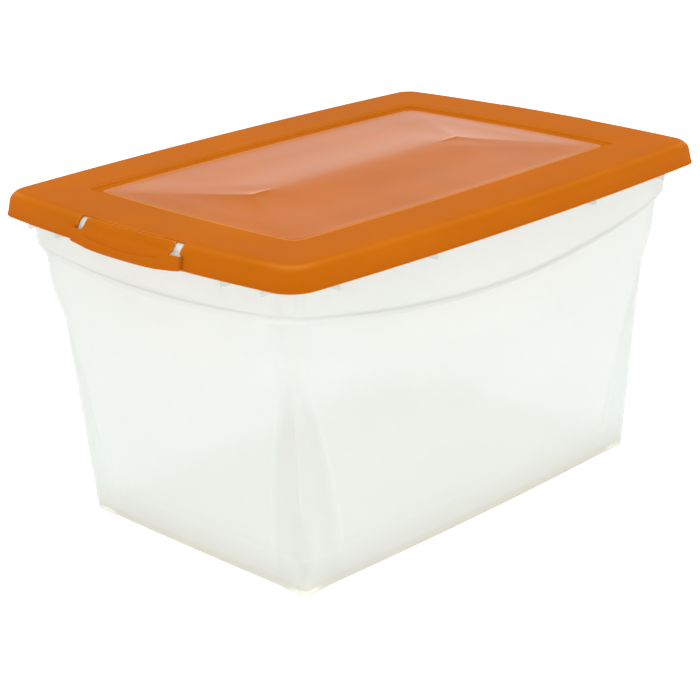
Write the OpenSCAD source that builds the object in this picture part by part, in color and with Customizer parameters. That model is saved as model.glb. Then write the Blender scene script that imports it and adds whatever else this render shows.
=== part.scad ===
// Stackable storage bin: a see-through moulded tub with a clip-on lid.
// Each short end of the lid carries a latch flap that bends outward on a living hinge.
// Frame: millimetres, +X along the long side, +Z up, origin in the middle of the plane
// that the four feet rest on.

/* [Overall] */
// Height of the bin with its lid on
bin_h = 338; // [330:1:350]

/* [Tub] */
// Length of the tub at its base
base_l = 486; // [480:1:490]
// Width of the tub at its base
base_w = 308; // [300:1:312]
// Corner radius at the base
base_r = 9; // [8:1:12]
// Lean of the end walls, as run over rise
end_draft = 0.091; // [0.086:0.001:0.094]
// Lean of the side walls, as run over rise
side_draft = 0.064; // [0.06:0.001:0.067]
// Wall thickness
wall = 2; // [1.8:0.1:2.4]
// Floor thickness
floor_t = 2.4; // [2:0.1:3]
// Height of the four corner feet
foot_h = 1; // [0.8:0.1:1.5]
// Width of a foot pad
foot_w = 26; // [22:1:30]
// Height of the line where the recessed base band ends
band_h = 37; // [30:1:44]
// Depth of the base band's recess
band_step = 0.4; // [0.3:0.1:0.9]
// Height where a corner post ends in a point
post_h = 229; // [220:1:235]
// Reach of a corner post along each wall, at the base
post_reach = 46; // [40:1:52]
// How far the corner posts stand out from the walls
post_step = 1; // [0.6:0.1:2]
// Outward flare of the wall just below the collar
flare = 4.3; // [3.6:0.1:4.8]

/* [Collar] */
// Length of the collar between its corners
collar_l = 556; // [554:1:558]
// Width of the collar between its corners
collar_w = 367; // [364:1:370]
// Height where the walls meet the collar, at the corners
collar_z = 278; // [275:1:281]
// Dip of that edge in the middle of a long side
side_dip = 30; // [22:1:34]
// Dip of that edge in the middle of a short end
end_dip = 8.5; // [5:0.5:11]
// Height of the gusset ribs' lower ends
rib_z = 306; // [303:1:309]
// Thickness of a gusset rib
rib_t = 2; // [1.6:0.1:2.4]

/* [Lid] */
// Length of the lid over the bulge of its short ends
lid_l = 610; // [609:1:612]
// Width of the lid over the bulge of its long sides
lid_w = 434; // [433:1:436]
// Bulge of a short end
lid_bow_end = 13; // [11:1:14]
// Bulge of a long side
lid_bow_side = 11; // [9:1:12]
// Corner radius at the skirt's lower edge
lid_r = 23; // [20:1:26]
// Depth of the skirt below the lid's top
skirt_h = 23; // [22:0.5:24]
// Radius of the rounded shoulder
shoulder_r = 12; // [11:0.5:13]
// Lean of the skirt, outward at its lower edge
skirt_lean = 2.5; // [2:0.1:3]
// Wall thickness
lid_t = 2; // [1.8:0.1:2.4]
// Width of the flat rim, from the skirt's outline to the step
rim_w = 59.5; // [57:0.5:62]
// Drop from the rim to the strip round the panel
step_h = 4.2; // [3:0.1:4.5]
// Width of that strip
strip_w = 11.5; // [9:0.5:14]
// Rise of the hipped panel from its border to its ridge
hip_h = 2.6; // [2:0.1:3]
// Half the length of the panel's ridge
ridge_x = 146; // [140:1:150]

/* [Latch flap] */
// Half the width of a flap's lower part
flap_y = 75.5; // [72:0.5:78]
// Half the width of a flap's hinged top, between its two slots
hinge_y = 61.5; // [58:0.5:64]
// Distance from the middle of the bin to the opening that holds a flap
hinge_x = 295; // [294.5:0.5:296]
// Height of the slots' lower edge
slot_z = 327.5; // [327:0.5:329]
// How far a flap stands out from the skirt
flap_out = 4; // [3:0.5:5]
// Lowest point of a flap
flap_z = 312; // [311:0.5:313]
// Rise of a flap's lower edge from its middle to its corners
flap_rise = 3.5; // [3:0.5:4]
// Half the width of the catch inside a flap
catch_y = 40; // [30:1:44]
// Free gap round a flap
slit = 0.5; // [0.4:0.1:0.7]

/* [Hidden] */

CLEAR = [0.95, 0.96, 0.94, 0.75];
ORANGE = [0.83, 0.42, 0.06];

skirt_z = bin_h - skirt_h;
shoulder_z = bin_h - shoulder_r;
gap = 0.7;                          // free space between the rim and the inside of the lid
roll_r = shoulder_r - lid_t - gap;  // outer radius of the tub's rolled rim
roll_t = 2;
rim_z = shoulder_z + roll_r;
roll_z = 320;                       // lower edge of the rolled rim
slot_w = 10;                        // width of the slots beside a flap's hinge
shoulder_a = 84;                    // the shoulder's arc ends at this angle from the top
stand_a = 70;                       // a flap starts to stand out from the arc here
end_wall_in = 1.5;                  // depth of a flap's end walls, inward from the lid's wall
catch_reach = 2;                    // the catch reaches this far in past the lid's wall
catch_t = 1;                        // thickness of the catch at its tip
catch_h = 6;                        // and height of its foot on the flap
pad = 1;                            // overlap of joined shapes
ledge_z = 320;                      // height of the finger ledge on a flap
flap_edge = lid_l / 2;              // outline of the skirt at the middle of a flap
flap_mid = flap_edge - skirt_lean - shoulder_r;
pin_r = lid_t / 2;                  // rounding of a flap's hinged edge
pin_x = hinge_x + slit + pin_r;
pin_a = asin((pin_x - flap_mid) / (shoulder_r - pin_r));
fillet = 2.5;                       // rounding between floor and wall
fillet_mid = fillet * (1 - cos(45));
collar_r = 22;
collar_rise = 8.5;                  // height of the collar's sloping underside
flare_z = 205;                      // the flare starts here
flare_h = 45;                       // and is complete this much higher
panel_r = 11;
end_n = 4;                          // spaces along half an end wall
side_n = 6;                         // spaces along half a side wall
post_steps = [-1, -0.72, -0.5, -0.32, -0.16, 0, 0.16, 0.32, 0.5, 0.72, 1];
post_edge = 3;                      // run of the slope beside a corner post
rib_ends = [116, 162];              // places of the gusset ribs from the middle of an end
rib_sides = [115, 234];             // and from the middle of a side

function lerp(a, b, t) = a + (b - a) * t;
function clamp01(t) = min(max(t, 0), 1);
function ease(t) = let (c = clamp01(t)) c * c * (3 - 2 * c);
function flip_x(p) = [-p.x, p.y, p.z];
function flip_y(p) = [p.x, -p.y, p.z];

// A section is [half length, half width, corner radius, end bulge, side bulge].
function inset_section(s, d) = [s[0] - d, s[1] - d, max(s[2] - d, 1), s[3], s[4]];

function body_section(z) =
    let (out = flare * ease((z - flare_z) / flare_h), up = z / collar_z)
    [base_l / 2 + z * end_draft + out, base_w / 2 + z * side_draft + out,
     lerp(base_r, collar_r + 2, up), lerp(1.5, 8, up), lerp(5, 11, up)];

collar_section = [collar_l / 2, collar_w / 2, collar_r, 9, 9];

function lid_section(inset) =
    [lid_l / 2 - lid_bow_end - inset, lid_w / 2 - lid_bow_side - inset,
     max(lid_r - 0.8 * inset, panel_r),
     lerp(lid_bow_end, 5, clamp01(inset / rim_w)), lerp(lid_bow_side, 5, clamp01(inset / rim_w))];

// Point at distance s along the outline from the middle of the corner arc,
// towards the side wall where s is positive and towards the end wall where it is negative.
function outline_point(sec, s) =
    let (r = sec[2], arc = r * PI / 4)
    abs(s) <= arc
        ? [sec[0] - r + r * cos(45 + s / r * 180 / PI), sec[1] - r + r * sin(45 + s / r * 180 / PI)]
        : s > 0 ? [sec[0] - r + arc - s, sec[1]] : [sec[0], sec[1] - r + arc + s];

function bulge(sec, p) =
    [p.x + sec[3] * (1 - pow(p.y / sec[1], 2)) * p.x / sec[0],
     p.y + sec[4] * (1 - pow(p.x / sec[0], 2)) * p.y / sec[1]];

// Distances along a quarter outline, from the middle of the end to the middle of the side.
function stations(sec, post) =
    let (arc = sec[2] * PI / 4, to_end = sec[1] - sec[2] + arc, to_side = sec[0] - sec[2] + arc)
    let (w = min(post, 0.8 * min(to_end, to_side)), out = w + min(post_edge, 0.1 * to_end))
    concat([for (i = [0 : end_n - 1]) lerp(-to_end, -out, i / end_n)], [-out],
           [for (k = post_steps) k * w],
           [out], [for (i = [1 : side_n]) lerp(out, to_side, i / side_n)]);

// Quarter ring at height z. The walls beside the corner post lie back by the recess.
function quarter(sec, z, post = 30, recess = 0) =
    [for (s = stations(sec, post))
        let (back = abs(s) > post + 0.1 ? recess : 0)
        let (p = bulge(sec, outline_point(sec, s)))
        s > 0 ? [p.x, p.y - back, z] : [p.x - back, p.y, z]];

function full_ring(q) =
    let (n = len(q) - 1)
    concat([for (i = [0 : n - 1]) q[i]], [for (i = [0 : n - 1]) flip_x(q[n - i])],
           [for (i = [0 : n - 1]) flip_x(flip_y(q[i]))], [for (i = [0 : n - 1]) flip_y(q[n - i])]);

// Closed solid through a stack of rings, counter-clockwise seen from above, that starts
// with a cap facing down and ends with a cap facing up.
module loft(rings) {
    n = len(rings[0]);
    last = len(rings) - 1;
    sides = [for (k = [0 : last - 1], i = [0 : n - 1])
        let (a = k * n + i, b = k * n + (i + 1) % n)
        each [[a, a + n, b + n], [a, b + n, b]]];
    caps = [[for (i = [0 : n - 1]) i], [for (i = [n - 1 : -1 : 0]) last * n + i]];
    polyhedron([for (r = rings) each r], concat(sides, caps), convexity = 6);
}

// Drop of the collar's lower edge at a point of the outline.
function dip(sec, p) =
    side_dip * (1 - pow(p.x / sec[0], 2)) * pow(p.y / sec[1], 2)
    + end_dip * (1 - pow(p.y / sec[1], 2)) * pow(p.x / sec[0], 2);

function post_width(z) = max(post_reach * pow(clamp01(1 - z / post_h), 0.55), collar_r);
function post_depth(z) = z > band_h ? post_step * ease((post_h - z) / 120) : 0;

// Ring of the tub's wall. Above mid height the ring bends down towards the dipped collar.
function wall_ring(z, inset) =
    let (flat = body_section(z), w = post_width(z), bend = clamp01((z - 130) / (collar_z - 130)))
    full_ring([for (i = [0 : len(stations(flat, w)) - 1])
        let (s = stations(flat, w)[i])
        let (zi = z - bend * dip(flat, outline_point(flat, s)))
        quarter(inset_section(body_section(zi), inset), zi, w - inset / 2, post_depth(z))[i]]);

// Ring of the collar, where up goes from 0 at its lower edge to 1 under the rim.
function collar_ring(up, inset) =
    let (sec = inset_section(collar_section, inset + 2 * (1 - up)))
    full_ring([for (p = quarter(sec, 0))
        [p.x, p.y, lerp(collar_z + collar_rise - dip(sec, p), rim_z - roll_t, up)]]);

function rim_ring(inset, z) = full_ring(quarter(lid_section(inset), z));

wall_levels = [band_h + 1.5, 75, 115, 155, 190, 205, 216, post_h, 241, 255, collar_z];

module tub_shell() {
    mid = shoulder_r + skirt_lean;
    loft(concat(
        [wall_ring(foot_h, band_step + fillet), wall_ring(foot_h + fillet_mid, band_step + fillet_mid),
         wall_ring(foot_h + fillet, band_step), wall_ring(band_h, band_step)],
        [for (z = wall_levels) wall_ring(z, 0)],
        [collar_ring(0, 0), collar_ring(1, 0)],
        [for (a = [25, 60, 90]) rim_ring(mid - (roll_r - roll_t) * sin(a),
                                         shoulder_z + (roll_r - roll_t) * cos(a))],
        [rim_ring(mid - roll_r + roll_t, roll_z), rim_ring(mid - roll_r, roll_z)],
        [for (a = [90, 60, 30, 0]) rim_ring(mid - roll_r * sin(a), shoulder_z + roll_r * cos(a))],
        [full_ring(quarter(inset_section(collar_section, wall), rim_z)), collar_ring(0, wall)],
        [for (i = [len(wall_levels) - 1 : -1 : 0]) wall_ring(wall_levels[i], wall)],
        [wall_ring(band_h, wall + band_step), wall_ring(foot_h + floor_t + fillet, wall + band_step),
         wall_ring(foot_h + floor_t + fillet_mid, wall + band_step + fillet_mid),
         wall_ring(foot_h + floor_t, wall + band_step + fillet)]));
}

// Rounded pad under one corner of the base.
module foot() {
    r = base_r - fillet;
    back = foot_w - r;
    linear_extrude(foot_h + 1)
        translate([base_l / 2 - base_r, base_w / 2 - base_r]) {
            circle(r, $fn = 48);
            translate([-back, -back]) square([back, foot_w]);
            translate([-back, -back]) square([foot_w, back]);
        }
}

// Upright plate that stiffens the rolled rim, from the collar out to the middle of the roll.
module gusset(from, to) {
    r = roll_r - roll_t / 2;
    rotate([90, 0, 0])
        linear_extrude(rib_t, center = true)
            polygon(concat([[from, rib_z], [to, rib_z]],
                           [for (a = [90, 60, 30, 0]) [to - r + r * sin(a), shoulder_z + r * cos(a)]],
                           [[from, shoulder_z + r]]));
}

// How far an outline stands out on the long axis at y, and on the short axis at x.
function reach_x(sec, y) = sec[0] + sec[3] * (1 - pow(y / sec[1], 2));
function reach_y(sec, x) = sec[1] + sec[4] * (1 - pow(x / sec[0], 2));

module gussets() {
    lip = lid_section(skirt_lean + shoulder_r - roll_r + roll_t / 2);
    for (y = rib_ends, s = [-1, 1])
        translate([0, s * y, 0]) gusset(reach_x(collar_section, y) - wall / 2, reach_x(lip, y));
    for (x = rib_sides, s = [-1, 1])
        translate([s * x, 0, 0]) rotate(90)
            gusset(reach_y(collar_section, x) - wall / 2, reach_y(lip, x));
}

module tub() {
    color(CLEAR) {
        tub_shell();
        for (x = [0, 1], y = [0, 1]) mirror([x, 0, 0]) mirror([0, y, 0]) foot();
        gussets();
        rotate(180) gussets();
    }
}

// Ring of the hipped panel, where up goes from 0 at its border to 1 at its ridge.
function hip_ring(up, drop) =
    let (border = lid_section(rim_w + strip_w + 1), left = 1 - up)
    let (sec = [lerp(ridge_x, border[0], left), border[1] * left, panel_r * left,
                border[3] * left, border[4] * left])
    full_ring(quarter(sec, bin_h - step_h + 0.6 + hip_h * ease(up) - drop));

function lid_rings(drop) = concat(
    [for (a = [shoulder_a, 60, 40, 20, 0])
        rim_ring(skirt_lean + shoulder_r - (shoulder_r - drop) * sin(a),
                 shoulder_z + (shoulder_r - drop) * cos(a))],
    [rim_ring(rim_w, bin_h - drop), rim_ring(rim_w + 1, bin_h - step_h - drop),
     rim_ring(rim_w + strip_w, bin_h - step_h - drop)],
    [for (up = [0, 0.4, 0.75, 0.97]) hip_ring(up, drop)]);

function reversed(v) = [for (i = [len(v) - 1 : -1 : 0]) v[i]];

module lid_shell() {
    loft(concat(reversed(lid_rings(lid_t)),
                [rim_ring(lid_t, skirt_z), rim_ring(0, skirt_z)],
                lid_rings(0)));
}

// Opening in the lid's end for a flap, with its two slots.
module flap_window() {
    low = flap_y + slit;
    high = hinge_y + slot_w;
    translate([hinge_x, -high, slot_z - 1]) cube([30, 2 * high, bin_h - slot_z + 5]);
    translate([hinge_x, -low, skirt_z - 10]) cube([30, 2 * low, slot_z - skirt_z + 10]);
}

module lid() {
    color(ORANGE)
        difference() {
            lid_shell();
            flap_window();
            mirror([1, 0, 0]) flap_window();
        }
}

// One face of a flap in cross-section, as points [x, z] from the hinge down, for a shoulder of
// radius r. It leaves the shoulder's arc to stand out from the skirt.
function flap_face(r) =
    let (edge = flap_edge + flap_out - shoulder_r + r)
    concat([for (i = [0 : 6])
                let (a = lerp(pin_a, shoulder_a, i / 6), out = (a - stand_a) / (shoulder_a - stand_a))
                [flap_mid + r * sin(a) + flap_out * ease(out), shoulder_z + r * cos(a)]],
           [[edge - 1, ledge_z + 0.5], [edge, ledge_z - 1], [edge + 0.5, flap_z - 2]]);

// Front view of a flap, as points [y, z]: a wide plate with a bowed lower edge, hung from a
// narrower top.
function flap_outline() =
    concat([[-hinge_y, bin_h + 1], [-hinge_y, slot_z], [-flap_y, slot_z]],
           [for (i = [0 : 16])
               let (y = lerp(-flap_y, flap_y, i / 16))
               [y, flap_z + flap_rise * pow(abs(y) / flap_y, 3)]],
           [[flap_y, slot_z], [hinge_y, slot_z], [hinge_y, bin_h + 1]]);

// Straight bar along a flap, with the cross-section given as points [x, z].
module flap_bar(half, points) {
    rotate([90, 0, 0])
        linear_extrude(2 * half, center = true)
            polygon(points);
}

// Skin of a flap, with its wall turned in at both ends to meet the skirt.
module flap_skin() {
    inside = flap_edge - skirt_lean - lid_t - end_wall_in;
    intersection() {
        union() {
            flap_bar(flap_y + pad, concat(flap_face(shoulder_r), reversed(flap_face(shoulder_r - lid_t))));
            for (s = [-1, 1])
                translate([0, s * (flap_y - lid_t / 2), 0])
                    flap_bar(lid_t / 2, [[inside, slot_z - 1], [flap_edge, slot_z - 1],
                                         [flap_edge + flap_out - 1, ledge_z + 0.5],
                                         [flap_edge + flap_out - 1, flap_z - 2], [inside + 2, flap_z - 2]]);
        }
        rotate([90, 0, 90])
            linear_extrude(hinge_x + 50)
                polygon(flap_outline());
    }
}

module right_latch_flap() {
    inner_face = flap_edge + flap_out - lid_t;
    tip = flap_edge - skirt_lean - lid_t - catch_reach;
    color(ORANGE) {
        flap_skin();
        translate([pin_x, 0, shoulder_z + (shoulder_r - pin_r) * cos(pin_a)])
            rotate([90, 0, 0])
                cylinder(r = pin_r, h = 2 * hinge_y, center = true, $fn = 32);
        flap_bar(catch_y, [[inner_face + pad, roll_z - slit], [tip, roll_z - slit],
                           [tip, roll_z - slit - catch_t], [inner_face + pad, roll_z - catch_h]]);
    }
}

module left_latch_flap() {
    mirror([1, 0, 0]) right_latch_flap();
}

tub();
lid();
left_latch_flap();
right_latch_flap();
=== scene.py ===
"""Looks of the stackable storage bin: a translucent tub, its lid and the lid's two latch flaps.

Shapes are worked out in millimetres in the CAD frame, and become metres when a mesh is made.
"""
import math
from collections import namedtuple

import bmesh
import bpy
import numpy as np
from mathutils import Matrix, Vector


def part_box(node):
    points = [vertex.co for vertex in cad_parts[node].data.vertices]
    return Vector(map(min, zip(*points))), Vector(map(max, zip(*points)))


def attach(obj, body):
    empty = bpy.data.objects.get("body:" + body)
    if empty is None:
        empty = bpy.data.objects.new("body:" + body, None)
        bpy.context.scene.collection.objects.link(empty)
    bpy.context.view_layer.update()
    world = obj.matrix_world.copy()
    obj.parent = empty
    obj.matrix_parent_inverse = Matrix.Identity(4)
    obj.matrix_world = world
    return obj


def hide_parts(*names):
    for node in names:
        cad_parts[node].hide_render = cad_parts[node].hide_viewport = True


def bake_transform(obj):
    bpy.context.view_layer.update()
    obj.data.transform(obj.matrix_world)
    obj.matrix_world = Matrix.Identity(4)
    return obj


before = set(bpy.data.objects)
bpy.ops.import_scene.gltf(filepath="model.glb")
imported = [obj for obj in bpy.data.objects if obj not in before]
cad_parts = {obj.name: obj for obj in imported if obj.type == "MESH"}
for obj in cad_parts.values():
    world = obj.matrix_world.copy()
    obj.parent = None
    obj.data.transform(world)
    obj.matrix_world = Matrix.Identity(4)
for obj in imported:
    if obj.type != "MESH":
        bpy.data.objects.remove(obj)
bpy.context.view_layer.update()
MM = 0.001

# ---------------------------------------------------------------- sizes, in millimetres
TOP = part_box("lid")[1].z / MM
LID_HALF_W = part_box("lid")[1].y / MM
FLAP_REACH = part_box("right_latch_flap")[1].x / MM

WALL = 2.0
FOOT_H = 1.0
FOOT_LEG = 27.0           # length of a foot along each wall
FOOT_DEPTH = 20.0         # width of a foot, inwards from the wall
FOOT_SLOPE = 1.2          # run of the slope round a foot
FLOOR_TOP = FOOT_H + 2.4
BASE_FILLET = 2.5
BASE_HALF_L, BASE_HALF_W, BASE_R = 243.0, 154.0, 9.0
END_DRAFT, SIDE_DRAFT = 0.091, 0.064
BAND_H, BAND_STEP = 37.0, 0.4
POST_H, POST_REACH, POST_STEP, POST_EDGE = 229.0, 42.0, 0.6, 6.0
POST_SKEW = 0.11          # a post reaches this much further along the long walls, as a share
POST_TIP = 1.5            # half the width that a post still has at its tip
POST_FADE, BAND_FADE = 70.0, 12.0     # a post's step fades out over these heights, at its tip and foot
FACET_Z, FACET_H = 42.0, 70.0         # the rounded corner turns into two facets from here on up
BEND_Z = 130.0            # rings of the wall start to bend towards the dipped collar here
BASE_BOWS, TOP_BOWS = (1.5, 5.0), (8.0, 11.0)     # bulges of end and side wall, at base and collar
FLARE, FLARE_Z, FLARE_H = 4.3, 205.0, 45.0
COLLAR_Z, COLLAR_R, COLLAR_RISE = 278.0, 22.0, 8.5
SIDE_DIP, END_DIP = 30.0, 8.5
RIB_Z, RIB_T, RIB_CHAMFER = 306.0, 2.0, 0.6
RIB_ENDS, RIB_SIDES = (116.0, 162.0), (115.0, 234.0)

SKIRT_H, SHOULDER_R, SKIRT_LEAN, LID_T = 23.0, 12.0, 2.5, 2.0
LID_BOW_END, LID_BOW_SIDE, LID_R = 13.0, 11.0, 23.0
RIM_W, STEP_H, STRIP_W, PANEL_R, PANEL_BOW = 59.5, 4.2, 11.5, 11.0, 5.0
HIP_H, HIP_REACH, RIDGE_X, SHARP_X, FOLD_H = 3.2, 0.43, 146.0, 122.0, 0.35
FLAP_OUT, FLAP_Y, HINGE_Y, SLOT_W, SLIT = 4.0, 75.5, 61.5, 10.0, 0.5
LEDGE_Z, LEDGE_RISE, FINGER_STEP, FINGER_FADE = 319.4, 5.2, 0.9, 14.0
FLAP_Z, FLAP_RISE, END_WALL_DEPTH = 312.0, 3.5, 5.7
STAND_ANGLE = 70.0        # a flap starts to stand out from the shoulder here
HINGE_ANGLE, SLOT_ANGLE = 22.0, 82.0      # the slots' ends on the shoulder's arc, in degrees from the top

LID_HALF_L = FLAP_REACH - FLAP_OUT - 0.5
SKIRT_Z = TOP - SKIRT_H
SHOULDER_Z = TOP - SHOULDER_R
ARC_INSET = SKIRT_LEAN + SHOULDER_R
ROLL_R = SHOULDER_R - LID_T - 0.7
ROLL_T, ROLL_Z = 2.0, 320.0
RIM_Z = SHOULDER_Z + ROLL_R

# ---------------------------------------------------------------- outlines and rings
Section = namedtuple("Section", "half_l half_w r bow_end bow_side")


def lerp(a, b, t):
    return a + (b - a) * t


def ease(t):
    t = np.clip(t, 0.0, 1.0)
    return t * t * (3 - 2 * t)


def inset(sec, d):
    return Section(sec.half_l - d, sec.half_w - d, np.maximum(sec.r - d, 1.0), sec.bow_end, sec.bow_side)


def body_section(z):
    """Outline of the tapered walls at height z, with the flare below the collar."""
    out = FLARE * ease((z - FLARE_Z) / FLARE_H)
    up = z / COLLAR_Z
    bow_end, bow_side = (lerp(low, high, up) for low, high in zip(BASE_BOWS, TOP_BOWS))
    return Section(BASE_HALF_L + z * END_DRAFT + out, BASE_HALF_W + z * SIDE_DRAFT + out,
                   lerp(BASE_R, COLLAR_R + 2, up), bow_end, bow_side)


COLLAR = Section(half_l=278.0, half_w=183.5, r=COLLAR_R, bow_end=9.0, bow_side=9.0)


def lid_section(d):
    """Outline of the lid at a distance d inside its skirt's lower edge."""
    in_rim = np.clip(d / RIM_W, 0, 1)
    return Section(LID_HALF_L - LID_BOW_END - d, LID_HALF_W - LID_BOW_SIDE - d,
                   np.maximum(LID_R - 0.8 * d, PANEL_R),
                   lerp(LID_BOW_END, PANEL_BOW, in_rim), lerp(LID_BOW_SIDE, PANEL_BOW, in_rim))


def outline(sec, s):
    """Quarter outline at distances s from the middle of the corner's arc: along the side wall
    where s is positive, and along the end wall where it is negative."""
    arc = sec.r * math.pi / 4
    turn = np.clip(s, -arc, arc) / sec.r + math.pi / 4
    x = sec.half_l - sec.r + sec.r * np.cos(turn) - np.maximum(s - arc, 0)
    y = sec.half_w - sec.r + sec.r * np.sin(turn) - np.maximum(-s - arc, 0)
    return (x + sec.bow_end * (1 - (y / sec.half_w) ** 2) * x / sec.half_l,
            y + sec.bow_side * (1 - (x / sec.half_l) ** 2) * y / sec.half_w)


def full_ring(x, y, z):
    """Closed ring of points, counter-clockwise from above, from a quarter that runs from the
    middle of an end to the middle of a side."""
    q = np.stack([x, y, z + 0 * x], axis=1)
    back = q[:0:-1]
    return np.concatenate([q[:-1], back * (-1, 1, 1), q[:-1] * (-1, -1, 1), back * (1, -1, 1)])


def reach_x(sec, y):
    return sec.half_l + sec.bow_end * (1 - (y / sec.half_w) ** 2)


def reach_y(sec, x):
    return sec.half_w + sec.bow_side * (1 - (x / sec.half_l) ** 2)


# ---------------------------------------------------------------- meshes
def make_mesh(name, verts, faces, sharp_deg=35.0):
    """Object from points in millimetres, shaded smooth, with edges sharp past an angle."""
    mesh = bpy.data.meshes.new(name)
    mesh.from_pydata([tuple(v) for v in np.asarray(verts) * MM], [], faces)
    obj = bpy.data.objects.new(name, mesh)
    bpy.context.scene.collection.objects.link(obj)
    mesh.validate()
    mesh.shade_smooth()
    mesh.set_sharp_from_angle(angle=math.radians(sharp_deg))
    return obj


def add_attribute(obj, name, values):
    layer = obj.data.attributes.new(name, "FLOAT", "POINT")
    layer.data.foreach_set("value", values)


def weld(verts, faces, tol=0.002):
    """Merges points closer than tol. Faces that collapse, or that meet their own reverse, go."""
    keys = np.round(np.asarray(verts) / tol).astype(np.int64)
    _, first, where = np.unique(keys, axis=0, return_index=True, return_inverse=True)
    where = where.ravel()
    clean = {}
    for face in faces:
        ring = [int(where[i]) for i in face]
        ring = [a for a, b in zip(ring, ring[1:] + ring[:1]) if a != b]
        if len(set(ring)) < 3:
            continue
        key = tuple(sorted(ring))
        if key in clean:
            del clean[key]
        else:
            clean[key] = ring
    return np.asarray(verts)[first], list(clean.values())


def ring_faces(rings, columns):
    """Quads between neighbouring rings, facing outwards where the rings go up."""
    faces = []
    for r in range(rings - 1):
        for c in range(columns):
            a, b = r * columns + c, r * columns + (c + 1) % columns
            faces.append((a, b, b + columns, a + columns))
    return faces


def shell(outer, inner, keep, wrap):
    """Closed solid between two grids of points [row, column, xyz]. keep says which cells exist;
    every open side of a kept cell gets a wall."""
    rows, columns = outer.shape[:2]
    count = rows * columns
    cells = columns if wrap else columns - 1
    faces = []

    def kept(r, c):
        if wrap:
            c %= cells
        return 0 <= r < rows - 1 and 0 <= c < cells and bool(keep[r, c])

    for r in range(rows - 1):
        for c in range(cells):
            if not kept(r, c):
                continue
            a, b = r * columns + c, r * columns + (c + 1) % columns
            d, e = b + columns, a + columns
            faces.append((a, b, d, e))
            faces.append((a + count, e + count, d + count, b + count))
            for there, p, q in ((kept(r - 1, c), b, a), (kept(r + 1, c), e, d),
                                (kept(r, c - 1), a, e), (kept(r, c + 1), d, b)):
                if not there:
                    faces.append((p, q, q + count, p + count))
    verts = np.concatenate([outer.reshape(-1, 3), inner.reshape(-1, 3)])
    return verts, faces


def prism(points, axis_point, along, thickness):
    """Flat plate: points are (out, z) pairs, laid from axis_point in direction along."""
    along = np.array([*along, 0.0])
    side = np.array([-along[1], along[0], 0.0]) * thickness / 2
    flat = np.array([np.array(axis_point) + along * out + np.array([0, 0, z]) for out, z in points])
    n = len(points)
    verts = np.concatenate([flat - side, flat + side])
    faces = [tuple(range(n)), tuple(range(2 * n - 1, n - 1, -1))]
    faces += [(i, i + n, (i + 1) % n + n, (i + 1) % n) for i in range(n)]
    return verts, faces


def join_parts(parts):
    """One list of points and faces from several."""
    verts, faces, base = [], [], 0
    for v, f in parts:
        verts.append(v)
        faces += [tuple(i + base for i in face) for face in f]
        base += len(v)
    return np.concatenate(verts), faces


# ---------------------------------------------------------------- tub
END_COLUMNS, SIDE_COLUMNS, NEAR_COLUMNS = 14, 24, 7
FILLET_STEPS = 6
FLOOR_RELIEF = 0.8        # height of the raised field in the floor
POST_SHARES = (0.97, 0.8, 0.62, 0.45, 0.3, 0.18, 0.09, 0.03)
EDGE_SHARES = (0.0, 0.25, 0.5, 0.75, 1.0)
NEAR_REACH = 34.0         # columns are held closer together up to here
# painted shade with density: how much darker and more opaque the gussets, posts and collar look
GUSSET_SHADE_DENSITY, POST_SHADE_DENSITY, COLLAR_SHADE_DENSITY = 0.45, 0.11, 0.05
LIP_WIDTH = 1.5           # half the width of the line of painted shade and density in the crease along the collar's lower edge


def post_width(z):
    """Half the width of a corner post, which narrows to its tip along a curve."""
    left = np.maximum(1 - (np.maximum(z, 0) / POST_H) ** 1.6, 0.0)
    return np.maximum(POST_REACH * left ** 0.72, POST_TIP)


def skew(s):
    """Share of a post's width that lies towards the end wall (s < 0) and the side wall (s > 0)."""
    return np.where(s > 0, 1 + POST_SKEW, 1 - POST_SKEW)


def half_stations(post):
    """Distances from the corner along a wall, with columns held on the post's edge, and the last."""
    start = [post * k for k in reversed(POST_SHARES)]
    edge = [post + POST_EDGE * k for k in EDGE_SHARES]
    near = max(edge[-1] + 4.0, NEAR_REACH)
    near_wall = [lerp(edge[-1], near, i / NEAR_COLUMNS) for i in range(1, NEAR_COLUMNS + 1)]
    return start + edge + near_wall, near


def tub_stations(sec, z):
    """Distances along a quarter outline, from the middle of an end to the middle of a side."""
    arc = sec.r * math.pi / 4
    ends, near_end = half_stations(post_width(z) * (1 - POST_SKEW))
    sides, near_side = half_stations(post_width(z) * (1 + POST_SKEW))
    to_end, to_side = sec.half_w - sec.r + arc, sec.half_l - sec.r + arc
    ends += [lerp(near_end, to_end, i / END_COLUMNS) for i in range(1, END_COLUMNS + 1)]
    sides += [lerp(near_side, to_side, i / SIDE_COLUMNS) for i in range(1, SIDE_COLUMNS + 1)]
    return np.array([-s for s in reversed(ends)] + [0.0] + sides)


def dip(sec, x, y):
    """Drop of the collar's lower edge at a point of the outline."""
    along_side = SIDE_DIP * (1 - (x / sec.half_l) ** 2) * (y / sec.half_w) ** 2
    along_end = END_DIP * (1 - (y / sec.half_w) ** 2) * (x / sec.half_l) ** 2
    return along_side + along_end


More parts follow.
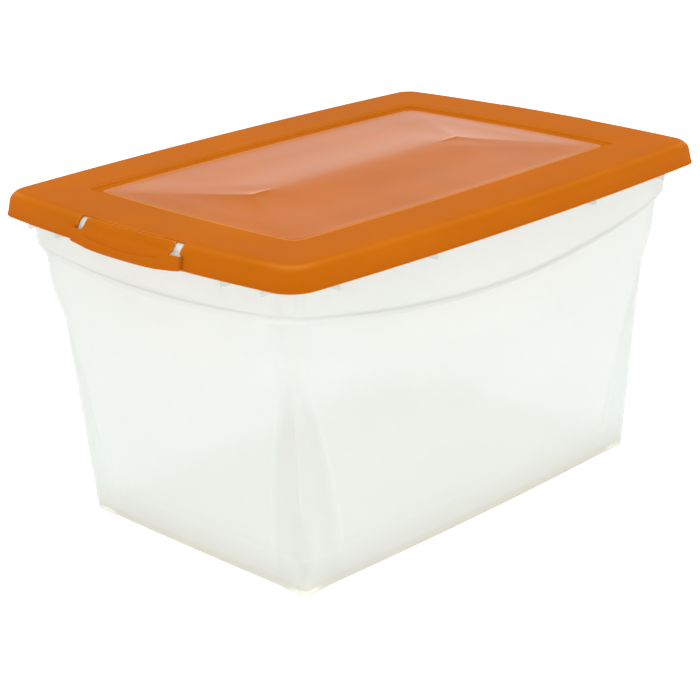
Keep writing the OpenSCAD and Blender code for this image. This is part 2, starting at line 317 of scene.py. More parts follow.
def wall_quarter(z, d, foot=0.0):
    """Quarter of the wall at height z, d inside its outer face. Above mid height it bends down to
    the dipped collar. The corner post stands out from the walls as two flat facets that meet in a
    crease. foot is how far the corner reaches down to make a foot."""
    sec = body_section(z)
    s = tub_stations(sec, z)
    flat = Section(sec.half_l, sec.half_w, sec.r, 0.0, 0.0)
    bend = np.clip((z - BEND_Z) / (COLLAR_Z - BEND_Z), 0, 1)
    zs = z - bend * dip(flat, *outline(flat, s))
    here = inset(body_section(zs), d)
    shrink = d * (math.pi / 4) * np.clip(np.abs(s) / 20, 0, 1)
    at = np.sign(s) * np.maximum(np.abs(s) - shrink, 0)
    x, y = outline(here, at)
    post = post_width(z) * skew(s)
    share = np.clip(np.abs(s) / post, 0, 1)
    facet = ease((z - FACET_Z) / FACET_H) * (share < 1)
    edge_x, edge_y = outline(here, np.sign(s) * post)
    crease_x, crease_y = outline(here, 0.0 * s)
    x = lerp(x, lerp(crease_x, edge_x, share), facet)
    y = lerp(y, lerp(crease_y, edge_y, share), facet)
    recess = POST_STEP * ease((POST_H - z) / POST_FADE) * ease((z - BAND_H) / BAND_FADE)
    back = recess * ease((np.abs(s) - post) / POST_EDGE)
    arc = here.r * math.pi / 4
    turn = np.clip(at, -arc, arc) / here.r + math.pi / 4
    x = x - back * np.cos(turn)
    y = y - back * np.sin(turn)
    in_foot = ease((FOOT_LEG + FOOT_SLOPE - np.abs(s)) / FOOT_SLOPE)
    return x, y, zs - foot * in_foot


def wall_ring(z, d, foot=0.0):
    return full_ring(*wall_quarter(z, d, foot))


def collar_quarter(up, d):
    """Quarter of the collar, where up goes from 0 at its dipped lower edge to 1 under the rim."""
    sec = inset(COLLAR, d + 2 * (1 - up))
    x, y = outline(sec, tub_stations(sec, POST_H))
    low = COLLAR_Z + COLLAR_RISE - dip(COLLAR, *outline(COLLAR, tub_stations(COLLAR, POST_H)))
    return x, y, lerp(low, RIM_Z - ROLL_T, up)


def rim_ring(d, z):
    sec = lid_section(d)
    return full_ring(*outline(sec, tub_stations(sec, POST_H)), z)


def fillet_rings(z_flat, d_wall, foot=0.0):
    """Rings that turn from the flat floor up into the wall."""
    rings = []
    for turn in np.radians(np.linspace(0, 90, FILLET_STEPS + 1)):
        z = z_flat + BASE_FILLET * (1 - math.cos(turn))
        d = d_wall + BASE_FILLET * (1 - math.sin(turn))
        rings.append(wall_ring(z, d, foot * (1 - (1 - math.cos(turn)) ** 2)))
    return rings


def floor_rings(z, d_wall, foot, relief):
    """Rings across the floor, from its middle out to the start of the wall's fillet."""
    edge = wall_ring(z, d_wall)
    rings = []
    raised = [(share, relief) for share in (0.03, 0.35, 0.7, 0.84)]
    for share, rise in raised + [(0.85, relief / 2), (0.86, 0.0)]:
        ring = edge * (share, share, 1.0)
        ring[:, 2] += rise
        rings.append(ring)
    for d in (FOOT_DEPTH + FOOT_SLOPE, FOOT_DEPTH, 12.0, 8.0):
        rings.append(wall_ring(z, max(d, d_wall), foot * (d <= FOOT_DEPTH)))
    return rings


WALL_LEVELS = list(np.arange(BAND_H + 9, POST_H - 22, 9.0))
WALL_LEVELS += [POST_H - below for below in (17, 12, 8, 5, 2.5, 1, 0)]
WALL_LEVELS += list(np.linspace(POST_H + 6, COLLAR_Z - 0.8, 9))
BAND_EDGE = ((-1.8, 0.95), (-0.9, 0.8), (0.0, 0.5), (0.9, 0.2), (1.8, 0.0), (4.0, 0.0))   # height, share


def tub_outer():
    """Rings up the outside, from the middle of the base to the collar's top."""
    rings = floor_rings(FOOT_H, BASE_FILLET + BAND_STEP, FOOT_H, 0.0)
    rings += fillet_rings(FOOT_H, BAND_STEP, FOOT_H)
    rings += [wall_ring(z, BAND_STEP) for z in (14, 24, BAND_H - 3.0)]
    rings += [wall_ring(BAND_H + up, BAND_STEP * share) for up, share in BAND_EDGE]
    rings += [wall_ring(z, 0.0) for z in WALL_LEVELS]
    crease = np.array(wall_quarter(COLLAR_Z, 0.0))
    rings.append(full_ring(*crease))
    lip = np.array(collar_quarter(0.0, 0.6))
    rings += [full_ring(*lerp(crease, lip, t)) for t in (0.15, 0.6)]
    rings += [full_ring(*collar_quarter(up, d)) for up, d in ((0.0, 0.6), (0.012, 0.15), (0.035, 0.0))]
    rings += [full_ring(*collar_quarter(up, 0.0)) for up in (0.12, 0.3, 0.5, 0.7, 0.88, 0.97)]
    rings.append(full_ring(*collar_quarter(1.0, -0.6)))
    return rings


def arc_rings(r, degrees):
    """Rings on an arc under the lid's shoulder, at these angles from the top."""
    return [rim_ring(ARC_INSET - r * math.sin(a), SHOULDER_Z + r * math.cos(a))
            for a in np.radians(degrees)]


def tub_rim():
    """Rings round the rolled rim, from under it to the top of the inner wall."""
    rings = arc_rings(ROLL_R - ROLL_T, (28, 40, 52, 64, 77, 90))
    low_in, low_out = ARC_INSET - ROLL_R + ROLL_T, ARC_INSET - ROLL_R
    for d, up in ((low_in, 0.6), (low_in - 0.3, 0.1), (low_out + 0.3, 0.1), (low_out, 0.6)):
        rings.append(rim_ring(d, ROLL_Z + up))
    rings += arc_rings(ROLL_R, (90, 78, 66, 54, 42, 30, 20, 10, 0))
    sec = inset(COLLAR, WALL)
    for d, z in ((-0.9, RIM_Z), (-0.3, RIM_Z - 0.3), (0.0, RIM_Z - 0.9)):
        here = inset(sec, d)
        rings.append(full_ring(*outline(here, tub_stations(here, POST_H)), z))
    return rings


def tub_inner():
    """Rings down the inside, from the collar to the middle of the floor."""
    rings = [full_ring(*collar_quarter(up, WALL)) for up in (0.9, 0.6, 0.3, 0.06)]
    low = np.array(collar_quarter(0.0, WALL))
    low[2] += 0.8
    body = np.array(wall_quarter(COLLAR_Z - 1.0, WALL))
    rings += [full_ring(*low), full_ring(*lerp(low, body, 0.8)), full_ring(*body)]
    rings += [wall_ring(z, WALL) for z in reversed(WALL_LEVELS[:-1])]
    rings += [wall_ring(BAND_H + z, WALL) for z in (4.0, 1.5)]
    rings += [wall_ring(BAND_H - z, WALL + BAND_STEP) for z in (0.2, 2.0)]
    rings += [wall_ring(z, WALL + BAND_STEP) for z in (30, 20, 14)]
    rings += fillet_rings(FLOOR_TOP, WALL + BAND_STEP)[::-1]
    rings += floor_rings(FLOOR_TOP, WALL + BAND_STEP + BASE_FILLET, 0.0, FLOOR_RELIEF)[::-1]
    return rings


def gusset_parts():
    """Upright plates under the rolled rim."""
    r = ROLL_R - ROLL_T / 2
    lip = lid_section(ARC_INSET - r)
    parts = []

    def plate(start, to, axis_point, along):
        turns = np.radians((90, 60, 30, 0))
        arc = [(to - r + r * math.sin(a), SHOULDER_Z + r * math.cos(a)) for a in turns]
        foot = [(start, RIB_Z), (to - RIB_CHAMFER, RIB_Z), (to, RIB_Z + RIB_CHAMFER)]
        shape = foot + arc + [(start, SHOULDER_Z + r)]
        parts.append(prism(shape, axis_point, along, RIB_T))

    for sign in (-1, 1):
        for y in RIB_ENDS:
            for end in (-1, 1):
                plate(reach_x(COLLAR, y) - WALL / 2, reach_x(lip, y), (0, sign * y, 0), (end, 0))
        for x in RIB_SIDES:
            for side in (-1, 1):
                plate(reach_y(COLLAR, x) - WALL / 2, reach_y(lip, x), (sign * x, 0, 0), (0, side))
    return parts


def density_and_shade(points):
    """How much denser and more shaded the plastic looks at each point, from 0 to 1, as painted shade: on
    the corner posts, on the collar under the lid, and most of all in the crease along the collar's lower
    edge."""
    x, y, z = np.abs(points).T
    sec = body_section(z)
    corner_x, corner_y = outline(sec, 0 * z)
    s = (corner_x - x) - (corner_y - y)
    share = np.abs(s) / (post_width(z) * skew(s))
    post = POST_SHADE_DENSITY * (1 - ease((share - 0.96) / 0.12)) * ease((POST_H - z) / 25)
    # painted shade: the post's half towards the end wall is darker
    post *= np.where(s < 0, 1.0, lerp(0.25, 1.0, ease((share - 0.45) / 0.4)))
    above_lip = z - COLLAR_Z - COLLAR_RISE + dip(COLLAR, x, y)
    collar = COLLAR_SHADE_DENSITY * ease(above_lip + 1)
    return np.maximum(np.maximum(post, collar), 1 - np.abs(above_lip) / LIP_WIDTH)


def build_tub():
    rings = np.array(tub_outer() + tub_rim() + tub_inner())
    rows, columns = rings.shape[:2]
    faces = ring_faces(rows, columns)
    faces += [tuple(reversed(range(columns))), tuple(range((rows - 1) * columns, rows * columns))]
    body, body_faces = weld(rings.reshape(-1, 3), faces)
    verts, faces = join_parts([(body, body_faces)] + gusset_parts())
    tub = make_mesh("tub_shell", verts, faces, 40.0)
    dense_and_shaded = density_and_shade(verts)
    dense_and_shaded[len(body):] = GUSSET_SHADE_DENSITY
    add_attribute(tub, "dense_and_shaded", dense_and_shaded)
    return tub


# ---------------------------------------------------------------- lid
FLAP_COLUMNS = (0.0, 10.0, 20.0, 30.0, 40.0, 50.0, HINGE_Y, HINGE_Y + SLOT_W, FLAP_Y + SLIT)
LID_NEAR_COLUMNS, LID_ARC_COLUMNS, LID_SIDE_COLUMNS = 7, 11, 26
ARC_ANGLES = (SLOT_ANGLE, 75.0, 68.0, 60.0, 52.0, 44.0, 36.0, 29.0, HINGE_ANGLE, 15.0, 7.0, 0.0)
SKIRT_POINTS = ((0.0, 0.0), (0.0, 1.2), (0.7, 2.0), (0.9, 3.2), (1.7, 7.5))    # inset, height
# Insets and drops of the flat rim, of the step down to the strip, and of the strip's inner edge.
RIM_POINTS = [(d, 0.0) for d in (24.0, 36.0, 48.0, RIM_W - 1.9, RIM_W - 0.6)]
STEP_POINTS = [(RIM_W - 0.1, 0.25), (RIM_W + 0.2, 0.9), (RIM_W + 0.6, STEP_H - 0.9),
               (RIM_W + 1.0, STEP_H - 0.25), (RIM_W + 1.6, STEP_H), (RIM_W + 5.5, STEP_H)]
BORDER_IN, BORDER_RISE = RIM_W + STRIP_W + 0.2, 0.45
STRIP_POINTS = [(BORDER_IN - 1.8, STEP_H), (BORDER_IN - 1.2, STEP_H - 0.05),
                (BORDER_IN - 0.6, STEP_H - 0.35), (BORDER_IN, STEP_H - BORDER_RISE)]
HIP_SHARES = [i / 30 for i in range(1, 28)] + [0.93, 0.955, 0.975, 0.99, 1.0]
RIDGE_POWERS = (1.7, 1.05)      # how the slopes fall from the ridge: round, and sharp
HOLLOW, HOLLOW_SHARE = 0.35, 0.36     # depth of the hollow along the border, and its share of the slope
FOLD_SHARE = 0.018              # share of the slope that the folds at the ridge's ends take
PANEL_EDGE, STEP_EDGE = RIM_W + 11.1, RIM_W + 0.5     # insets of the painted highlight lines: the panel's border and the step down to the strip
# strengths of those painted highlight lines
PANEL_HIGHLIGHT, STEP_HIGHLIGHT = 1.0, 0.35
HIGHLIGHT_ANGLE, HIGHLIGHT_SPREAD = 32.0, 12.0    # the painted highlight band on the shoulder, in degrees from the top
HIGHLIGHT_STRAIGHT, HIGHLIGHT_CORNER = 0.1, 0.36
CORNER_REACH, CORNER_FADE = 60.0, 40.0


def lid_stations(sec):
    arc = sec.r * math.pi / 4
    straight = sec.half_w - sec.r
    beside = np.linspace(FLAP_COLUMNS[-1], straight, LID_NEAR_COLUMNS + 2)[1:-1]
    ends = np.concatenate([FLAP_COLUMNS, beside]) - straight - arc
    sides = np.linspace(arc, sec.half_l - sec.r + arc, LID_SIDE_COLUMNS + 1)[1:]
    return np.concatenate([ends, np.linspace(-arc, arc, LID_ARC_COLUMNS), sides])


def lid_quarter(d, z):
    sec = lid_section(d)
    x, y = outline(sec, lid_stations(sec))
    return np.array([x, y, z + 0 * x])


def hip_height(up, along):
    """Rise of the hipped panel: up goes from 0 at the border to 1 at the ridge, and along is the
    place on the ridge that a column ends at. The ridge is sharp near its ends, round between."""
    power = lerp(*RIDGE_POWERS, ease((np.abs(along) - SHARP_X + 14) / 26))
    slope = HIP_H * np.exp(-((1 - up) / HIP_REACH) ** power)
    hollow = HOLLOW * ease(1 - up / HOLLOW_SHARE)
    fold = FOLD_H * math.exp((up - 1) / FOLD_SHARE) * ease((np.abs(along) - SHARP_X) / 8)
    return slope - hollow + fold


def hip_quarter(up, drop):
    """Quarter ring on the panel. Side columns close in on the ridge line, the rest on its end."""
    x, y, z = lid_quarter(BORDER_IN, TOP - STEP_H + BORDER_RISE - drop)
    corner = len(FLAP_COLUMNS) + LID_NEAR_COLUMNS + LID_ARC_COLUMNS // 2
    target = np.minimum(RIDGE_X * x / x[corner], RIDGE_X)
    target[:corner + 1] = RIDGE_X
    return np.array([lerp(x, target, up), lerp(y, 0.0, up), z + hip_height(up, target)])


def lid_rows(drop):
    """Quarters from the skirt's lower edge to the ridge, moved in by the wall's thickness."""
    side = [lid_quarter(d + drop, SKIRT_Z + h) for d, h in SKIRT_POINTS]
    r = SHOULDER_R - drop
    arc = [lid_quarter(ARC_INSET - r * math.sin(a), SHOULDER_Z + r * math.cos(a))
           for a in np.radians(ARC_ANGLES)]
    flat = [lid_quarter(d + (drop / 2 if h > 0.5 else 0), TOP - h - drop)
            for d, h in RIM_POINTS + STEP_POINTS + STRIP_POINTS]
    hips = [hip_quarter(up, drop) for up in HIP_SHARES]
    return np.array([full_ring(*q) for q in side + arc + flat + hips])


def in_window(middles, below_slots):
    """True where cells with these middles belong to a flap's opening."""
    limit = FLAP_Y + SLIT if below_slots else HINGE_Y + SLOT_W
    return (np.abs(middles[:, 1]) < limit) & (np.abs(middles[:, 0]) > LID_HALF_L - 30)


def line_near(points, inset_at, width):
    """1 on the lid's outline at this inset, fading to 0 at one and a half widths beside it."""
    x, y = np.abs(points[:, 0]), np.abs(points[:, 1])
    sec = lid_section(inset_at)
    in_x, in_y = sec.r - reach_x(sec, y) + x, sec.r - reach_y(sec, x) + y
    in_corner = np.hypot(np.maximum(in_x, 0), np.maximum(in_y, 0))
    depth = sec.r - np.maximum(in_corner, np.maximum(in_x, in_y))
    return np.clip(1.5 - np.abs(depth) / width, 0, 1)


def shoulder_highlight(points):
    """Painted highlight on the shoulder's upper part, from 0 to 1, a little stronger round the corners."""
    x, y, z = np.abs(points).T
    angle = np.degrees(np.arccos(np.clip((z - SHOULDER_Z) / SHOULDER_R, -1, 1)))
    rim = lid_section(ARC_INSET)
    outside = np.minimum(reach_x(rim, y) - x, reach_y(rim, x) - y) < 0
    at_end = ease((x - LID_HALF_L + CORNER_REACH) / CORNER_FADE)
    at_side = ease((y - LID_HALF_W + CORNER_REACH) / CORNER_FADE)
    band = np.exp(-((angle - HIGHLIGHT_ANGLE) / HIGHLIGHT_SPREAD) ** 2)
    return lerp(HIGHLIGHT_STRAIGHT, HIGHLIGHT_CORNER, at_end * at_side) * band * outside


def build_lid():
    outer, inner = lid_rows(0.0), lid_rows(LID_T)
    rows, columns = outer.shape[:2]
    top_row = len(SKIRT_POINTS) + ARC_ANGLES.index(HINGE_ANGLE)
    slot_row = len(SKIRT_POINTS)
    keep = np.ones((rows - 1, columns), bool)
    middles = (outer[:-1] + np.roll(outer[:-1], -1, axis=1)) / 2
    for r in range(top_row):
        keep[r] = ~in_window(middles[r], r < slot_row)
    verts, faces = weld(*shell(outer, inner, keep, True))
    lid = make_mesh("lid_shell", verts, faces, 30.0)
    # painted highlights: light lines at the panel's border and on the step, and a light band on the
    # shoulder
    panel_line = PANEL_HIGHLIGHT * line_near(verts, PANEL_EDGE, 0.5)
    step_line = STEP_HIGHLIGHT * line_near(verts, STEP_EDGE, 0.8)
    add_attribute(lid, "edge", np.maximum(np.maximum(panel_line, step_line), shoulder_highlight(verts)))
    border = lid_section(BORDER_IN - 1.0)
    panel_z = TOP - STEP_H - 0.2
    for face in lid.data.polygons:
        c = face.center / MM
        on_panel = abs(c.x) < reach_x(border, c.y) and abs(c.y) < reach_y(border, c.x)
        face.material_index = int(on_panel and c.z > panel_z)
    return lid


# ---------------------------------------------------------------- latch flaps
HINGE_COLUMNS = (0.0, 10.0, 20.0, 30.0, 40.0, 46.0, 50.0, 54.0, 58.0, HINGE_Y)
END_WALL_COLUMNS = (66.0, HINGE_Y + SLOT_W, FLAP_Y - LID_T, FLAP_Y - LID_T + 0.1, FLAP_Y)
# Angles on the shoulder's arc from the hinge down, and the share of the wall's thickness there.
HINGE_ROWS = ((HINGE_ANGLE, 1.0), (28.0, 1.0), (31.0, 0.45), (35.0, 0.45), (38.0, 1.0), (44.0, 1.0),
              (52.0, 1.0), (60.0, 1.0), (68.0, 1.0), (75.0, 1.0), (SLOT_ANGLE, 1.0))
# Rows from the slots down to the finger ledge, as shares of that drop, and how far each has
# stepped out; then the rows from there to the lower edge.
LEDGE_ROWS = ((0.2, 0.0), (0.6, 0.0), (0.9, 0.0), (1.0, 0.25), (1.03, 0.8), (1.06, 1.0))
LOWER_ROWS = (0.25, 0.5, 0.75, 0.94, 1.0)
FLAP_LEAN = 0.22          # run over rise of a flap's lower part
CATCH_Y, CATCH_DEPTH, CATCH_H = 40.0, 6.6, 6.0
CATCH_TIP, CATCH_CHAMFER = 1.2, 0.4


def flap_grids():
    """Outer and inner grids of the right flap, rows from the hinge down, columns along y."""
    half = HINGE_COLUMNS + END_WALL_COLUMNS
    y = np.array([-v for v in half[:0:-1]] + list(half))
    edge = reach_x(lid_section(0.0), y)
    middle = edge - ARC_INSET
    low = FLAP_Z + FLAP_RISE * (np.abs(y) / FLAP_Y) ** 3
    ledge = LEDGE_Z + LEDGE_RISE * (y / HINGE_Y) ** 2
    finger = ease((HINGE_Y - np.abs(y)) / FINGER_FADE)
    end_wall = np.abs(y) > FLAP_Y - LID_T
    outer, inner = [], []

    def add_row(out_x, in_x, out_z, in_z):
        outer.append(np.stack([out_x, y, out_z + 0 * y], 1))
        inner.append(np.stack([np.where(end_wall, edge - END_WALL_DEPTH, in_x), y, in_z + 0 * y], 1))

    def add_lower_row(z, stepped):
        x = edge - SKIRT_LEAN + FLAP_OUT + FLAP_LEAN * (SHOULDER_Z - z) + stepped * FINGER_STEP * finger
        add_row(x, x - LID_T, z, z)

    for angle, share in HINGE_ROWS:
        stand = FLAP_OUT * ease((angle - STAND_ANGLE) / (SLOT_ANGLE - STAND_ANGLE))
        rise, run = math.cos(math.radians(angle)), math.sin(math.radians(angle))
        r = SHOULDER_R - LID_T * share
        add_row(middle + SHOULDER_R * run + stand, middle + r * run + stand,
                SHOULDER_Z + SHOULDER_R * rise, SHOULDER_Z + r * rise)
    top = SHOULDER_Z + SHOULDER_R * math.cos(math.radians(SLOT_ANGLE))
    for share, stepped in LEDGE_ROWS:
        start = top + (ledge - top) * share
        add_lower_row(start, stepped)
    for share in LOWER_ROWS:
        add_lower_row(start + (low - start) * share, 1.0)
    return np.array(outer), np.array(inner)


def catch_part(sign):
    """Bead inside a flap that reaches under the tub's rolled rim."""
    face = LID_HALF_L + FLAP_OUT - 1.0
    tip = LID_HALF_L - CATCH_DEPTH
    top = ROLL_Z - SLIT
    shape = [(face, top), (tip + CATCH_CHAMFER, top), (tip, top - CATCH_CHAMFER),
             (tip, top - CATCH_TIP), (face, top - CATCH_H)]
    return prism(shape, (0, 0, 0), (sign, 0), 2 * CATCH_Y)


def build_flap(name, sign):
    """A latch flap, with a wide lower part that starts at the slots' lower edge."""
    outer, inner = flap_grids()
    rows, columns = outer.shape[:2]
    keep = np.ones((rows - 1, columns - 1), bool)
    middle_y = (outer[0, :-1, 1] + outer[0, 1:, 1]) / 2
    keep[:len(HINGE_ROWS) - 1, np.abs(middle_y) > HINGE_Y] = False
    verts, faces = shell(outer[::-1], inner[::-1], keep[::-1], False)
    used = sorted({i for f in faces for i in f})
    place = {old: new for new, old in enumerate(used)}
    verts, faces = verts[used], [tuple(place[i] for i in f) for f in faces]
    if sign < 0:
        verts = verts * (-1, 1, 1)
        faces = [tuple(reversed(f)) for f in faces]
    verts, faces = join_parts([(verts, faces), catch_part(sign)])
    return make_mesh(name, verts, faces, 30.0)


def round_edges(obj, width, angle_deg=40.0):
    """Small rounding on every hard edge, except along the hinge line, where lid and flap meet."""
    hinge_x = LID_HALF_L - ARC_INSET + SHOULDER_R * math.sin(math.radians(HINGE_ANGLE))
    hinge_z = SHOULDER_Z + (SHOULDER_R - LID_T) * math.cos(math.radians(HINGE_ANGLE))
    net = bmesh.new()
    net.from_mesh(obj.data)
    weight = net.edges.layers.float.new("bevel_weight_edge")
    for edge in net.edges:
        middle = (edge.verts[0].co + edge.verts[1].co) / (2 * MM)
        on_hinge = (abs(middle.y) < HINGE_Y + 0.2 and middle.z > hinge_z - 0.5
                    and abs(abs(middle.x) - hinge_x) < 2.0)
        if not on_hinge and edge.calc_face_angle(0.0) > math.radians(angle_deg):
            edge[weight] = 1.0
    net.to_mesh(obj.data)
    net.free()
    bevel = obj.modifiers.new("edge_rounding", "BEVEL")
    bevel.width = width * MM
    bevel.segments = 2
    bevel.limit_method = "WEIGHT"


# ---------------------------------------------------------------- materials
ORANGE = (0.51, 0.128, 0.003)
# painted highlight colour, laid on sharp edges and on the lines and band of the edge attribute
HIGHLIGHT_ORANGE = (0.85, 0.34, 0.05)
LOW_SKIRT_SHADE = (0.97, 0.92, 0.9)       # share of the colour left at the skirt's lower edge, as painted shade
EDGE_ON_SHADE_ORANGE = (0.27, 0.065, 0.003)    # painted shade along the outline, seen edge on
MILK_LIGHT, MILK_DARK = (0.91, 0.955, 0.955), (0.89, 0.94, 0.937)
# painted shade: the milk darkens towards the floor, and to brown at the foot
MILK_LOW_SHADE, MILK_FOOT_SHADE = (0.86, 0.885, 0.865), (0.74, 0.73, 0.66)
# milk seen along the wall, and painted shade on the posts, collar and crease
MILK_DENSE_SHADED = (0.62, 0.665, 0.64)
OPACITY = (0.44, 0.9)     # of one surface, seen face on and edge on
WALL_GLOW = (0.02, 0.07)  # painted light: emission for light scattered on inside the walls, low and high
FLOOR_GLOW = 0.27         # painted light: emission on faces that lie flat, such as the inside of the floor
PLASTIC_IOR = 1.49


class Graph:
    """Shader nodes of a material or world. An input is a number, a colour or another node's output."""

    def __init__(self, owner):
        owner.use_nodes = True
        self.nodes, self.links = owner.node_tree.nodes, owner.node_tree.links

    def feed(self, node, inputs):
        for key, value in inputs.items():
            socket = node.inputs[key]
            if isinstance(value, bpy.types.NodeSocket):
                self.links.new(value, socket)
            else:
                socket.default_value = (*value, 1.0) if socket.type == "RGBA" else value
        return node

    def change(self, name, inputs):
        """Sets inputs of a node that is there from the start."""
        return self.feed(self.nodes[name], inputs)

    def add(self, kind, inputs, **settings):
        node = self.nodes.new("ShaderNode" + kind)
        for name, value in settings.items():
            setattr(node, name, value)
        return self.feed(node, inputs)

    def axis(self, vector, name):
        return self.add("SeparateXYZ", {0: vector}).outputs[name]

    def attribute(self, name):
        return self.add("Attribute", {}, attribute_name=name).outputs["Fac"]

    def facing(self):
        """0 on surfaces that face the eye, 1 on surfaces seen edge on."""
        return self.add("LayerWeight", {"Blend": 0.35}).outputs["Facing"]

    def maths(self, operation, a, b=0.0):
        return self.add("Math", {0: a, 1: b}, operation=operation).outputs[0]

    def noise(self, coords, scale, detail, roughness=0.5):
        inputs = {"Vector": coords, "Scale": scale, "Detail": detail, "Roughness": roughness}
        return self.add("TexNoise", inputs).outputs["Fac"]

    def span(self, value, lo, hi, to_lo, to_hi, kind="SMOOTHSTEP"):
        """Maps lo..hi to to_lo..to_hi, and holds the ends."""
        inputs = {"Value": value, "From Min": lo, "From Max": hi, "To Min": to_lo, "To Max": to_hi}
        return self.add("MapRange", inputs, interpolation_type=kind).outputs["Result"]

    def mix(self, factor, a, b):
        return self.add("Mix", {0: factor, 6: a, 7: b}, data_type="RGBA").outputs[2]

    def bump(self, height, strength, distance):
        inputs = {"Height": height, "Strength": strength, "Distance": distance}
        return self.add("Bump", inputs).outputs["Normal"]


def lid_plastic(name, roughness, grain, shine, painted_lift):
    """Orange polypropylene. roughness is (low, high), grain the bump's strength, shine the specular
    level, and painted_lift brightens the colour as painted light."""
    mat = bpy.data.materials.new(name)
    graph = Graph(mat)
    coords = graph.add("TexCoord", {}).outputs["Object"]
    broad = graph.noise(coords, 9.0, 3.0)
    fine = graph.noise(coords, 1400.0, 3.0, 0.6)
    dark, light = (tuple(c * painted_lift * level for c in ORANGE) for level in (0.95, 1.04))
    colour = graph.mix(graph.span(broad, 0.35, 0.65, 0.0, 1.0, "LINEAR"), dark, light)
    # painted shade: the skirt darkens towards its lower edge
    low = graph.span(graph.axis(coords, "Z"), SKIRT_Z * MM, (TOP - 3) * MM, 1.0, 0.0)
    colour = graph.mix(low, colour, tuple(a * b * painted_lift for a, b in zip(ORANGE, LOW_SKIRT_SHADE)))
    # painted shade: darker orange where the lid is seen edge on
    side_on = graph.span(graph.facing(), 0.78, 0.98, 0.0, 0.8)
    colour = graph.mix(side_on, colour, EDGE_ON_SHADE_ORANGE)
    # painted highlights: lighter orange on sharp edges and where the edge attribute is set
    pointiness = graph.add("NewGeometry", {}).outputs["Pointiness"]
    sharp = graph.span(pointiness, 0.52, 0.60, 0.0, 0.4, "LINEAR")
    marked = graph.span(graph.attribute("edge"), 0.0, 1.0, 0.0, 0.8, "LINEAR")
    colour = graph.mix(graph.maths("MAXIMUM", sharp, marked), colour, HIGHLIGHT_ORANGE)
    graph.change("Principled BSDF", {
        "Base Color": colour,
        "Roughness": graph.span(broad, 0.3, 0.7, *roughness, "LINEAR"),
        "Normal": graph.bump(fine, grain, 0.0002),
        "IOR": PLASTIC_IOR,
        "Specular IOR Level": shine,
    })
    return mat


def tub_plastic():
    """Natural polypropylene: milky, see-through, denser where the eye looks along the wall. Painted shade
    darkens it towards the floor and on the posts, collar and crease, and its emission is painted light."""
    mat = bpy.data.materials.new("natural_polypropylene")
    graph = Graph(mat)
    coords = graph.add("TexCoord", {}).outputs["Object"]
    height = graph.axis(coords, "Z")
    facing = graph.facing()
    dense_and_shaded = graph.attribute("dense_and_shaded")
    flow = graph.noise(coords, 7.0, 4.0)
    colour = graph.mix(graph.span(flow, 0.3, 0.7, 0.0, 1.0, "LINEAR"), MILK_DARK, MILK_LIGHT)
    # painted shade: darker milk towards the floor, brown at the very foot
    colour = graph.mix(graph.span(height, 0.002, 0.05, 1.0, 0.0), colour, MILK_LOW_SHADE)
    colour = graph.mix(graph.span(height, 0.0, 0.015, 1.0, 0.0), colour, MILK_FOOT_SHADE)
    side_on = graph.span(facing, 0.28, 0.85, 0.0, 0.6)
    # denser milk where seen edge on, and painted shade where dense_and_shaded is set
    colour = graph.mix(graph.maths("MAXIMUM", dense_and_shaded, side_on), colour, MILK_DENSE_SHADED)
    normal = graph.add("NewGeometry", {}).outputs["Normal"]
    level = graph.maths("ABSOLUTE", graph.axis(normal, "Z"))
    # painted light: emission brightens the walls' upper part and every face that lies flat
    wall_glow = graph.span(height, 0.15, 0.30, *WALL_GLOW)
    floor_glow = graph.span(level, 0.5, 0.95, 0.0, FLOOR_GLOW)
    peel = graph.noise(coords, 320.0, 3.0)
    skin = graph.change("Principled BSDF", {
        "Base Color": colour,
        "Emission Color": colour,
        "Emission Strength": graph.maths("MAXIMUM", wall_glow, floor_glow),
        "Roughness": 0.32,
        "IOR": PLASTIC_IOR,
        "Normal": graph.bump(peel, 0.12, 0.0003),
    })
    through = graph.add("BsdfTranslucent", {"Color": colour})
    milky = graph.add("MixShader", {0: 0.5, 1: skin.outputs[0], 2: through.outputs[0]})
    clear = graph.add("BsdfTransparent", {"Color": (0.985, 0.99, 0.98)})
    by_angle = graph.span(facing, 0.0, 1.0, *OPACITY, "LINEAR")
    by_density = graph.span(dense_and_shaded, 0.0, 0.45, OPACITY[0], 0.7, "LINEAR")
    opacity = graph.maths("MAXIMUM", by_angle, by_density)
    seen = graph.add("MixShader", {0: opacity, 1: clear.outputs[0], 2: milky.outputs[0]})
    graph.change("Material Output", {"Surface": seen.outputs[0]})
    return mat


# ---------------------------------------------------------------- object
satin = lid_plastic("lid_satin", (0.42, 0.52), 0.35, 0.015, 1.0)
# painted light: the polished panel's colour is brightened 1.15 times, standing in for light off its gloss
polished = lid_plastic("lid_polished", (0.13, 0.2), 0.03, 0.56, 1.15)
natural = tub_plastic()

tub = build_tub()
tub.data.materials.append(natural)
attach(tub, "tub")
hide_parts("tub")

lid = build_lid()
lid.data.materials.append(satin)
lid.data.materials.append(polished)
round_edges(lid, 0.35)
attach(lid, "lid")
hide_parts("lid")

for side, sign in (("left", -1), ("right", 1)):
    flap = build_flap(side + "_flap_skin", sign)
    flap.data.materials.append(satin)
    round_edges(flap, 0.3)
    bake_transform(flap)
    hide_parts(side + "_latch_flap")


# ---------------------------------------------------------------- stage, light and camera
def add_plane(name, size, z, mat):
    half = size / 2
    mesh = bpy.data.meshes.new(name)
    corners = [(-half, -half, z), (half, -half, z), (half, half, z), (-half, half, z)]
    mesh.from_pydata(corners, [], [(0, 1, 2, 3)])
    obj = bpy.data.objects.new(name, mesh)
    bpy.context.scene.collection.objects.link(obj)
    obj.data.materials.append(mat)
    return obj


def floor_material():
    mat = bpy.data.materials.new("pale_floor")
    Graph(mat).change("Principled BSDF", {
        "Base Color": (0.93, 0.93, 0.93),
        "Roughness": 0.9,
        "Specular IOR Level": 0.1,
        "Emission Color": (1.0, 1.0, 1.0),
        "Emission Strength": 0.5,
    })
    return mat


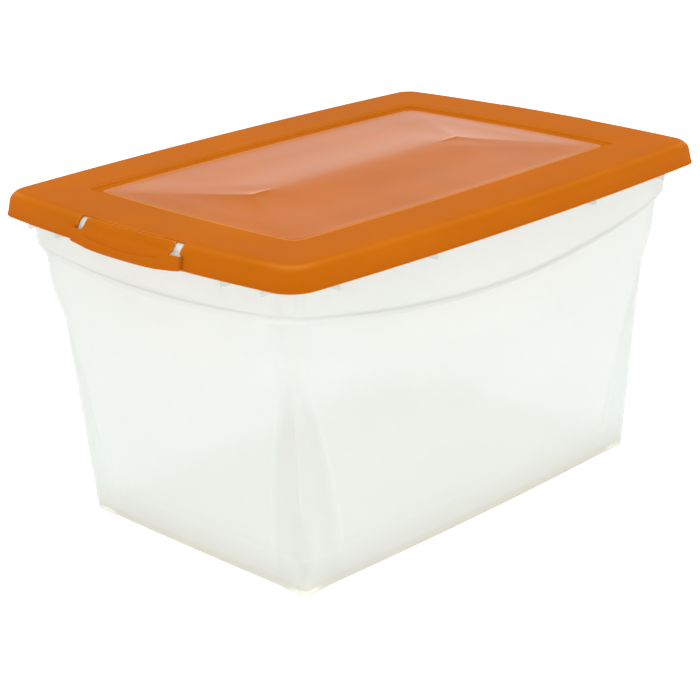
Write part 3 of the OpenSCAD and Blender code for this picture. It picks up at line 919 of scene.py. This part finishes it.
def add_area_light(name, place, target, size, power):
    data = bpy.data.lights.new(name, "AREA")
    data.shape = "RECTANGLE"
    data.size, data.size_y = size
    data.energy = power
    obj = bpy.data.objects.new(name, data)
    obj.location = place
    obj.rotation_euler = (Vector(target) - Vector(place)).to_track_quat("-Z", "Y").to_euler()
    bpy.context.scene.collection.objects.link(obj)
    return obj


SKY_BAND, SKY_LIT = (0.15, 0.5), (1.6, 0.55)    # heights on the unit sphere, and strengths there
# What polished plastic mirrors: heights on the unit sphere and brightness, up from the horizon.
MIRRORED = ((0.0, 1.0), (0.16, 0.94), (0.22, 0.57), (0.275, 0.43), (0.335, 0.16), (0.45, 0.05), (0.9, 0.25))
BEHIND_CAMERA = (-0.708, -0.706, 0.0)


def build_world():
    """White surroundings, darker above the horizon and behind the camera."""
    world = bpy.data.worlds.new("studio")
    bpy.context.scene.world = world
    graph = Graph(world)
    direction = graph.add("TexCoord", {}).outputs["Generated"]
    height = graph.axis(direction, "Z")
    lit = graph.span(height, *SKY_BAND, *SKY_LIT)
    mirrored = graph.add("ValToRGB", {0: height})
    ramp = mirrored.color_ramp
    ramp.interpolation = "EASE"
    while len(ramp.elements) < len(MIRRORED):
        ramp.elements.new(0.5)
    for stop, (position, grey) in zip(ramp.elements, MIRRORED):
        stop.position = position
        stop.color = (grey, grey, grey, 1.0)
    glossy = graph.add("LightPath", {}).outputs["Is Glossy Ray"]
    level = graph.add("Mix", {0: glossy, 2: lit, 3: mirrored.outputs[0]}).outputs[0]
    ahead = graph.add("VectorMath", {0: direction, 1: BEHIND_CAMERA}, operation="DOT_PRODUCT")
    dimmed = graph.span(ahead.outputs["Value"], 0.55, 0.95, 1.0, 0.6)
    strength = graph.maths("MULTIPLY", level, dimmed)
    graph.change("Background", {"Color": (1.0, 1.0, 1.0), "Strength": strength})


def build_camera():
    """Camera at the reference view: near the left front corner, a little above the lid."""
    yaw, pitch, roll = (math.radians(v) for v in (44.86, 19.885, -1.642))
    ahead = Vector((math.cos(pitch) * math.cos(yaw), math.cos(pitch) * math.sin(yaw), -math.sin(pitch)))
    level = Vector((math.sin(yaw), -math.cos(yaw), 0.0))
    above = level.cross(ahead)
    right = level * math.cos(roll) + above * math.sin(roll)
    up = above * math.cos(roll) - level * math.sin(roll)
    data = bpy.data.cameras.new("camera")
    data.sensor_width, data.lens = 36.0, 99.25
    camera = bpy.data.objects.new("camera", data)
    axes = Matrix((right, up, -ahead)).transposed().to_4x4()
    camera.matrix_world = Matrix.Translation((-1.3394, -1.3121, 0.8186)) @ axes
    bpy.context.scene.collection.objects.link(camera)
    bpy.context.scene.camera = camera


add_plane("floor", 60.0, 0.0, floor_material())
add_area_light("overhead_softbox", (-0.2, -0.2, 2.6), (0, 0, 0.2), (3.0, 3.0), 50.0)
build_world()
build_camera()
bpy.context.scene.view_settings.view_transform = "Standard"
